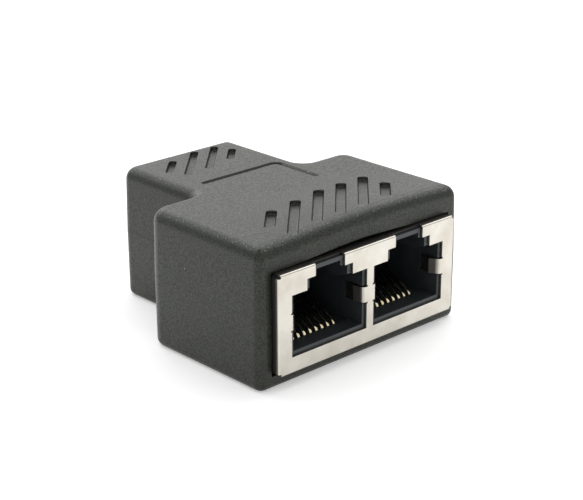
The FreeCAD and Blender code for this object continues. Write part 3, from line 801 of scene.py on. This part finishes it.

# %% Gold plate
# Depths behind the face where the painted shade on the wires begins and where it is full.
GOLD_BRIGHT = BEND_INSET + 0.3
GOLD_SHADE_DEPTH = BEND_INSET + 1.2
gold, tree, shader = new_material("gold_plate", Metallic=1.0)
plating = use_group(tree, grain, Scale=8000.0, Tone_Scale=900.0)
gold_tone = two_tones(tree, plating.outputs["Tone"], (0.92, 0.76, 0.47), (0.96, 0.85, 0.62))
unshaded_wire = near_face(tree, GOLD_BRIGHT, GOLD_SHADE_DEPTH)
# Further into the port the wire is painted a dark dull gold: painted shade where the arms face the dark inside
# of the port.
wire_tone = two_tones(tree, unshaded_wire, (0.30, 0.25, 0.17), (0, 0, 0))
tree.links.new(gold_tone.outputs["Result"], wire_tone.inputs["B"])
tree.links.new(wire_tone.outputs["Result"], shader.inputs["Base Color"])
tree.links.new(spread(tree, plating.outputs["Tone"], 0.05, 0.10), shader.inputs["Roughness"])
print("finish:", gold.name)

# %% Board
board, tree, shader = new_material("board_mask")
mask = use_group(tree, grain, Scale=3000.0, Tone_Scale=400.0)
green_tone = two_tones(tree, mask.outputs["Tone"], (0.01, 0.07, 0.025), (0.015, 0.095, 0.035))
tree.links.new(green_tone.outputs["Result"], shader.inputs["Base Color"])
tree.links.new(spread(tree, mask.outputs["Tone"], 0.25, 0.4), shader.inputs["Roughness"])
print("finish:", board.name)

# %% Give every piece its finish
FINISHES = {"housing": housing, "shield": nickel, "insulator": insulator, "contact": gold, "board": board}
for part in frame["record"]["subparts"]:
    solid = frame["nodes"][part["node"]]
    solid.data.materials.clear()
    solid.data.materials.append(FINISHES[part["material_slot"]])
for piece in [cover, base] + wires:
    piece.data.materials.append(FINISHES[piece["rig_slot"]])

# %% [markdown]
# ## Stage, light and camera
# The part stands on a plain white floor. The floor is a pale diffuse surface with a little light of its own
# that only the camera and reflections see, so it reads as white and still keeps the soft shadow. The world is
# an even white tent with three large soft panels, brighter than the tent: a low one behind the part makes
# the top shine more than the sides, and two high ones, behind it and on its right, draw a soft band along
# the rounded edges.

# %% Floor
FLOOR_HALF = 3.0
FLOOR_DROP = 0.02 * MM
floor_mesh = bpy.data.meshes.new("floor")
square = np.array([(-1, -1), (1, -1), (1, 1), (-1, 1)]) * FLOOR_HALF
floor_mesh.from_pydata(np.column_stack([square, np.full(4, -FLOOR_DROP)]).tolist(), [], [[0, 1, 2, 3]])
floor = bpy.data.objects.new("floor", floor_mesh)
bpy.context.scene.collection.objects.link(floor)
print("floor:", 2 * FLOOR_HALF, "m square")

# %% Floor finish
FLOOR_GLOW = 0.33


def seen_directly(tree):
    """1 for rays from the camera and in reflections or glass, and 0 for light that falls on things."""
    path = tree.nodes.new("ShaderNodeLightPath")
    total = path.outputs["Is Camera Ray"]
    for label in ("Is Glossy Ray", "Is Transmission Ray"):
        added = add_node(tree, "ShaderNodeMath", operation="ADD", use_clamp=True)
        tree.links.new(total, added.inputs[0])
        tree.links.new(path.outputs[label], added.inputs[1])
        total = added.outputs["Value"]
    return total


paper = bpy.data.materials.new("white_floor")
paper.use_nodes = True
tree = paper.node_tree
tree.nodes.remove(tree.nodes["Principled BSDF"])
matt = add_node(tree, "ShaderNodeBsdfDiffuse", Color=(0.85, 0.85, 0.85, 1))
glow = add_node(tree, "ShaderNodeEmission", Color=(1, 1, 1, 1))
share = add_node(tree, "ShaderNodeMath", operation="MULTIPLY")
share.inputs[1].default_value = FLOOR_GLOW
both = tree.nodes.new("ShaderNodeAddShader")
tree.links.new(seen_directly(tree), share.inputs[0])
tree.links.new(share.outputs["Value"], glow.inputs["Strength"])
tree.links.new(matt.outputs["BSDF"], both.inputs[0])
tree.links.new(glow.outputs["Emission"], both.inputs[1])
tree.links.new(both.outputs["Shader"], tree.nodes["Material Output"].inputs["Surface"])
floor_mesh.materials.append(paper)
print("floor finish:", paper.name)

# %% World
TENT_LEVEL = 0.77
world = bpy.data.worlds.new("studio")
bpy.context.scene.world = world
world.use_nodes = True
backdrop = world.node_tree.nodes["Background"]
backdrop.inputs["Color"].default_value = (1, 1, 1, 1)
backdrop.inputs["Strength"].default_value = TENT_LEVEL
print("world:", world.name, "at", TENT_LEVEL)


# %% Lamps
def soft_lamp(name, place, size, power):
    """Square area lamp at a place, turned to the part's foot, in metres and watts."""
    lamp = bpy.data.lights.new(name, "AREA")
    lamp.size = size
    lamp.energy = power
    lamp_object = bpy.data.objects.new(name, lamp)
    lamp_object.location = place
    lamp_object.rotation_euler = (-Vector(place)).to_track_quat("-Z", "Y").to_euler()
    bpy.context.scene.collection.objects.link(lamp_object)


soft_lamp("low_panel", place=(0.40, 0.45, 0.35), size=0.8, power=1.0)
soft_lamp("high_panel", place=(0.03, 0.50, 0.49), size=0.7, power=2.1)
soft_lamp("right_panel", place=(0.45, 0.06, 0.55), size=0.6, power=1.7)
print("lamps:", [lamp.name for lamp in bpy.data.lights])

# %% Camera
CAMERA_AZIMUTH = math.radians(-43.062)
CAMERA_PITCH = math.radians(21.018)
CAMERA_ROLL = math.radians(-0.207)
CAMERA_PLACE = (-0.129892, -0.144059, 0.083457)
CAMERA_LENS = 96.151
swing = Matrix.Rotation(CAMERA_AZIMUTH, 4, "Z")
tilt = Matrix.Rotation(math.pi / 2 - CAMERA_PITCH, 4, "X")
roll = Matrix.Rotation(CAMERA_ROLL, 4, "Z")
camera_data = bpy.data.cameras.new("camera")
camera_data.lens = CAMERA_LENS
camera_data.sensor_width = 36.0
camera_data.clip_start = 0.01
camera = bpy.data.objects.new("camera", camera_data)
camera.matrix_world = Matrix.Translation(CAMERA_PLACE) @ swing @ tilt @ roll
bpy.context.scene.collection.objects.link(camera)
bpy.context.scene.camera = camera
bpy.context.scene.view_settings.view_transform = "Standard"
print("camera: lens", CAMERA_LENS, "mm, at", CAMERA_PLACE)
